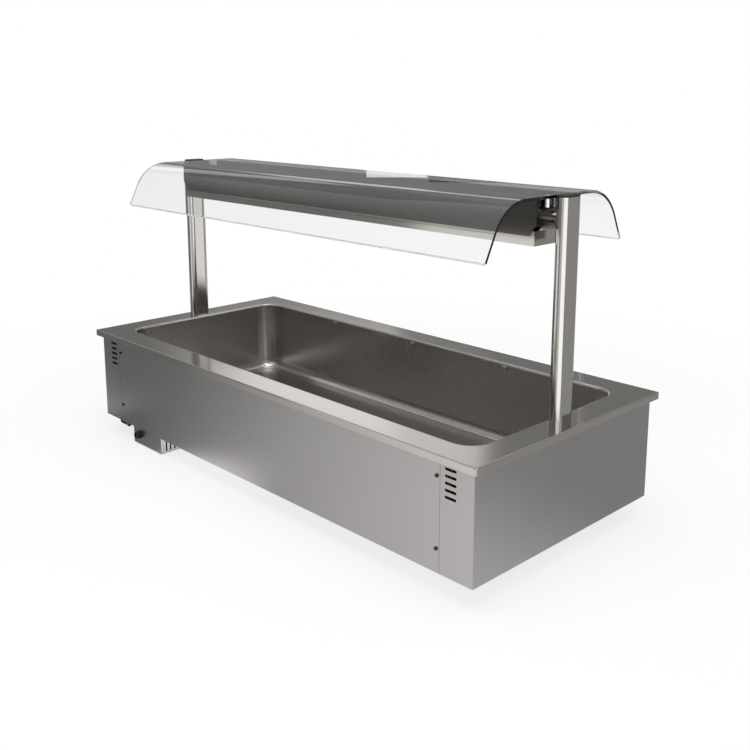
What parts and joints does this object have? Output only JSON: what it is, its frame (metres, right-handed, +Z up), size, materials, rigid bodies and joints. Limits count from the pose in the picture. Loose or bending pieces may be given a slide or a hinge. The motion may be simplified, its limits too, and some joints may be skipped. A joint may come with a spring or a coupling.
{
  "type": "drop-in food well",
  "caption": "Long drop-in heated food well with a flanged deck, drain lever, control box below and a post-mounted gantry with curved glass.",
  "frame": {"origin": "centre of the counter cut-out, level with the worktop that the deck's turned-down edge rests on", "axes": "+X along the well away from the drain end, -Y towards the service front, +Z up"},
  "size_m": [1.44, 0.655, 0.7827],
  "materials": {
    "satin_steel": "brushed stainless steel",
    "casing_steel": "satin stainless sheet",
    "zinc_steel": "zinc-coated sheet",
    "screw_steel": "bright steel",
    "post_steel": "satin stainless tube",
    "dark_steel": "dark reflective steel",
    "polished_steel": "polished stainless steel",
    "black_plastic": "black moulded plastic",
    "black_rubber": "black rubber",
    "brass": "machined brass",
    "mineral_wool": "mineral wool slab",
    "clear_glass": "clear toughened glass",
    "quartz": "frosted quartz tube",
    "ceramic": "white glazed ceramic"
  },
  "bodies": {
    "well": {"base_panel": "zinc_steel", "box_screws": "screw_steel", "cable_gland": "black_plastic", "clamp_studs": "screw_steel", "control_box": "casing_steel", "control_box_lid": "casing_steel", "deck_top": "satin_steel", "element_clamps": "zinc_steel", "end_insulation": "mineral_wool", "end_rails": "zinc_steel", "floor_insulation": "mineral_wool", "front_panel": "casing_steel", "gantry_bolts": "screw_steel", "gantry_ends": "satin_steel", "gantry_saddles": "post_steel", "gantry_skin": "dark_steel", "gland_nut": "black_plastic", "glass_canopy": "clear_glass", "glass_standoffs": "polished_steel", "gn_clips": "satin_steel", "heat_lamps": "quartz", "heating_element": "polished_steel", "lamp_guard": "polished_steel", "lamp_holders": "ceramic", "lamp_reflector": "polished_steel", "lamp_switch_body": "black_plastic", "lamp_tray": "satin_steel", "left_end_panel": "casing_steel", "left_post": "post_steel", "panel_screws": "screw_steel", "post_bolts": "screw_steel", "post_caps": "black_plastic", "post_feet": "post_steel", "post_plates": "zinc_steel", "rear_panel": "casing_steel", "right_end_panel": "casing_steel", "right_post": "post_steel", "safety_cutout": "black_plastic", "side_insulation": "mineral_wool", "side_rails": "zinc_steel", "standoff_gaskets": "black_rubber", "standoff_screws": "screw_steel", "tank": "satin_steel", "terminal_block": "ceramic", "thermostat_body": "black_plastic", "thermostat_probe": "polished_steel", "valve_body": "brass", "waste_backnut": "polished_steel", "waste_fitting": "polished_steel", "waste_gasket": "black_rubber", "well_switch_body": "black_plastic"},
    "lever": {"drain_lever": "black_plastic", "lever_screw": "screw_steel", "valve_stem": "brass", "valve_ball": "brass"},
    "strainer": {"drain_strainer": "polished_steel", "strainer_collar": "polished_steel"},
    "knob": {"thermostat_knob": "black_plastic"},
    "well_rocker": {"well_rocker": "black_plastic"},
    "lamp_rocker": {"lamp_rocker": "black_plastic"}
  },
  "joints": [
    {"name": "drain_lever_turn", "type": "hinge", "parent": "well", "child": "lever", "pos_m": [-0.6, -0.3045, -0.248], "axis": [0, -1, 0], "range_deg": [0, 90]},
    {"name": "strainer_lift", "type": "slide", "parent": "well", "child": "strainer", "axis": [0, 0, 1], "range_m": [0, 0.06]},
    {"name": "thermostat_turn", "type": "hinge", "parent": "well", "child": "knob", "pos_m": [-0.555, -0.1308, -0.2625], "axis": [-1, 0, 0], "range_deg": [0, 270]},
    {"name": "well_switch_rock", "type": "hinge", "parent": "well", "child": "well_rocker", "pos_m": [-0.5535, -0.2619, -0.2625], "axis": [0, 0, -1], "range_deg": [0, 20]},
    {"name": "lamp_switch_rock", "type": "hinge", "parent": "well", "child": "lamp_rocker", "pos_m": [-0.5535, -0.2021, -0.2625], "axis": [0, 0, -1], "range_deg": [0, 20]}
  ]
}
